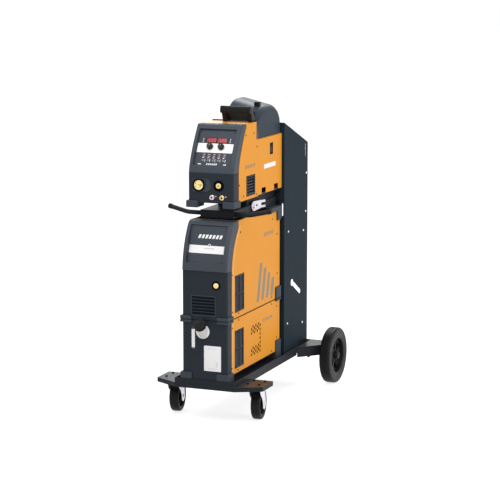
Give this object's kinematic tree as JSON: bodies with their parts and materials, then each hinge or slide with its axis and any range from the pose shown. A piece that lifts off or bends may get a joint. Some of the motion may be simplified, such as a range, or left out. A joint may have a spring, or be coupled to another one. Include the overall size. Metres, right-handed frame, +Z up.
{
  "type": "mig welder on cart",
  "caption": "Wire-feed welder on a castor cart: water cooler, power source and wire feeder stacked in front of a tall bottle column, with spool hood and cable rest.",
  "frame": {"origin": "on the floor, in the middle of the overall width and length", "axes": "+Z up, +Y from the control panels to the bottle column, +X to the side of the feeder door"},
  "size_m": [0.668, 1.3006, 1.595],
  "materials": {
    "cart_paint": "satin black powder coat",
    "column_paint": "satin dark grey powder coat",
    "steel": "plain sheet steel",
    "zinc": "bright zinc plate",
    "black_steel": "blackened",
    "castor_rubber": "grey-black rubber tread",
    "tyre": "matte black rubber",
    "black_plastic": "fine-grained black plastic",
    "front_plastic": "fine-grained dark grey plastic",
    "bezel_plastic": "fine-grained grey plastic",
    "orange_paint": "orange-yellow textured powder coat",
    "tank_plastic": "natural white plastic",
    "grey_plastic": "grey plastic",
    "hood_plastic": "fine-grained dark plastic",
    "brass": "machined brass",
    "wire": "copper-coated wire on a plastic spool"
  },
  "bodies": {
    "cart": {"tray": "cart_paint", "front_crossbar": "cart_paint", "rear_crossbar": "cart_paint", "rear_axle": "steel", "column": "column_paint", "shelf": "cart_paint", "cable_rest": "cart_paint", "castor_plates": "zinc", "cart_bolts": "black_steel", "axle_caps": "black_plastic", "cooler_front": "front_plastic", "cooler_case": "orange_paint", "cooler_chassis": "steel", "coolant_tank": "tank_plastic", "coolant_pump": "steel", "radiator": "steel", "source_bezel": "bezel_plastic", "source_face": "front_plastic", "source_panel": "front_plastic", "source_case": "orange_paint", "source_chassis": "steel", "power_module": "steel", "socket_bodies": "black_plastic", "socket_contacts": "brass", "vent_inserts": "front_plastic", "corner_feet": "grey_plastic", "case_screws": "steel", "feeder_bezel": "bezel_plastic", "feeder_face": "front_plastic", "control_panel": "front_plastic", "feeder_case": "orange_paint", "feeder_chassis": "steel", "carry_handle": "black_plastic", "drive_unit": "steel"},
    "fork_left": {"castor_fork_left": "zinc"},
    "fork_right": {"castor_fork_right": "zinc"},
    "castor_left": {"castor_wheel_left": "castor_rubber"},
    "castor_right": {"castor_wheel_right": "castor_rubber"},
    "rear_wheel_left": {"rear_tyre_left": "tyre", "rear_rim_left": "black_plastic"},
    "rear_wheel_right": {"rear_tyre_right": "tyre", "rear_rim_right": "black_plastic"},
    "lock_fork": {"lock_fork": "zinc"},
    "filler_cap": {"filler_cap": "black_plastic"},
    "cooler_fan": {"cooler_fan": "black_plastic"},
    "source_fan": {"source_fan": "black_plastic"},
    "main_switch": {"main_switch": "black_plastic"},
    "knob_left": {"knob_left": "black_plastic"},
    "knob_right": {"knob_right": "black_plastic"},
    "button_1": {"button_1": "grey_plastic"},
    "button_2": {"button_2": "grey_plastic"},
    "button_3": {"button_3": "grey_plastic"},
    "button_4": {"button_4": "grey_plastic"},
    "button_5": {"button_5": "grey_plastic"},
    "spool_hood": {"spool_hood": "hood_plastic"},
    "side_door": {"side_door": "orange_paint"},
    "wire_spool": {"wire_spool": "wire"},
    "drive_roll": {"drive_roll": "steel"},
    "pressure_arm": {"pressure_arm": "black_steel"},
    "pressure_roll": {"pressure_roll": "steel"}
  },
  "joints": [
    {"name": "castor_swivel_left", "type": "hinge", "parent": "cart", "child": "fork_left", "pos_m": [-0.225, -0.44325, 0.1775], "axis": [0, 0, 1], "continuous": true},
    {"name": "castor_roll_left", "type": "hinge", "parent": "fork_left", "child": "castor_left", "pos_m": [-0.23126, -0.39869, 0.08], "axis": [0.9903, 0.1392, 0], "continuous": true},
    {"name": "rear_roll_left", "type": "hinge", "parent": "cart", "child": "rear_wheel_left", "pos_m": [-0.3, 0.49775, 0.1525], "axis": [1, 0, 0], "continuous": true},
    {"name": "castor_swivel_right", "type": "hinge", "parent": "cart", "child": "fork_right", "pos_m": [0.225, -0.44325, 0.1775], "axis": [0, 0, 1], "continuous": true},
    {"name": "castor_roll_right", "type": "hinge", "parent": "fork_right", "child": "castor_right", "pos_m": [0.21874, -0.39869, 0.08], "axis": [0.9903, 0.1392, 0], "continuous": true},
    {"name": "rear_roll_right", "type": "hinge", "parent": "cart", "child": "rear_wheel_right", "pos_m": [0.3, 0.49775, 0.1525], "axis": [1, 0, 0], "continuous": true},
    {"name": "lock_slide", "type": "slide", "parent": "cart", "child": "lock_fork", "axis": [0, -1, 0], "range_m": [0, 0.04]},
    {"name": "cap_turn", "type": "hinge", "parent": "cart", "child": "filler_cap", "pos_m": [-0.009, -0.61914, 0.50889], "axis": [0, -0.7071, 0.7071], "range_deg": [0, 90]},
    {"name": "cooler_fan_spin", "type": "hinge", "parent": "cart", "child": "cooler_fan", "pos_m": [0.091, -0.19525, 0.37], "axis": [1, 0, 0], "continuous": true},
    {"name": "source_fan_spin", "type": "hinge", "parent": "cart", "child": "source_fan", "pos_m": [0.01, 0.11975, 0.6785], "axis": [0, 1, 0], "continuous": true},
    {"name": "switch_turn", "type": "hinge", "parent": "cart", "child": "main_switch", "pos_m": [-0.07, 0.14675, 0.8585], "axis": [0, 1, 0], "range_deg": [0, 90]},
    {"name": "knob_left_turn", "type": "hinge", "parent": "cart", "child": "knob_left", "pos_m": [-0.03, -0.42945, 1.38104], "axis": [0, -0.8777, 0.4792], "range_deg": [-150, 150]},
    {"name": "knob_right_turn", "type": "hinge", "parent": "cart", "child": "knob_right", "pos_m": [0.03, -0.42945, 1.38104], "axis": [0, -0.8777, 0.4792], "range_deg": [-150, 150]},
    {"name": "button_1_press", "type": "slide", "parent": "cart", "child": "button_1", "axis": [0, 0.8777, -0.4792], "range_m": [0, 0.0015], "stiffness_N_per_m": 400, "springref_m": -0.001},
    {"name": "button_2_press", "type": "slide", "parent": "cart", "child": "button_2", "axis": [0, 0.8777, -0.4792], "range_m": [0, 0.0015], "stiffness_N_per_m": 400, "springref_m": -0.001},
    {"name": "button_3_press", "type": "slide", "parent": "cart", "child": "button_3", "axis": [0, 0.8777, -0.4792], "range_m": [0, 0.0015], "stiffness_N_per_m": 400, "springref_m": -0.001},
    {"name": "button_4_press", "type": "slide", "parent": "cart", "child": "button_4", "axis": [0, 0.8777, -0.4792], "range_m": [0, 0.0015], "stiffness_N_per_m": 400, "springref_m": -0.001},
    {"name": "button_5_press", "type": "slide", "parent": "cart", "child": "button_5", "axis": [0, 0.8777, -0.4792], "range_m": [0, 0.0015], "stiffness_N_per_m": 400, "springref_m": -0.001},
    {"name": "hood_tip", "type": "hinge", "parent": "cart", "child": "spool_hood", "pos_m": [-0.061, -0.00825, 1.44], "axis": [0, -1, 0], "range_deg": [0, 100]},
    {"name": "door_drop", "type": "hinge", "parent": "cart", "child": "side_door", "pos_m": [0.117, -0.00325, 1.113], "axis": [0, 1, 0], "range_deg": [0, 90]},
    {"name": "spool_spin", "type": "hinge", "parent": "cart", "child": "wire_spool", "pos_m": [0.01, -0.00925, 1.41], "axis": [1, 0, 0], "continuous": true},
    {"name": "drive_roll_spin", "type": "hinge", "parent": "cart", "child": "drive_roll", "pos_m": [-0.0635, -0.29525, 1.1799], "axis": [1, 0, 0], "continuous": true},
    {"name": "pressure_arm_lift", "type": "hinge", "parent": "cart", "child": "pressure_arm", "pos_m": [-0.082, -0.34325, 1.2211], "axis": [1, 0, 0], "range_deg": [0, 50]},
    {"name": "pressure_roll_spin", "type": "hinge", "parent": "pressure_arm", "child": "pressure_roll", "pos_m": [-0.0635, -0.29525, 1.2111], "axis": [1, 0, 0], "continuous": true}
  ],
  "couplings": [
    {"joint": "pressure_roll_spin", "follows": "drive_roll_spin", "ratio": -1}
  ]
}
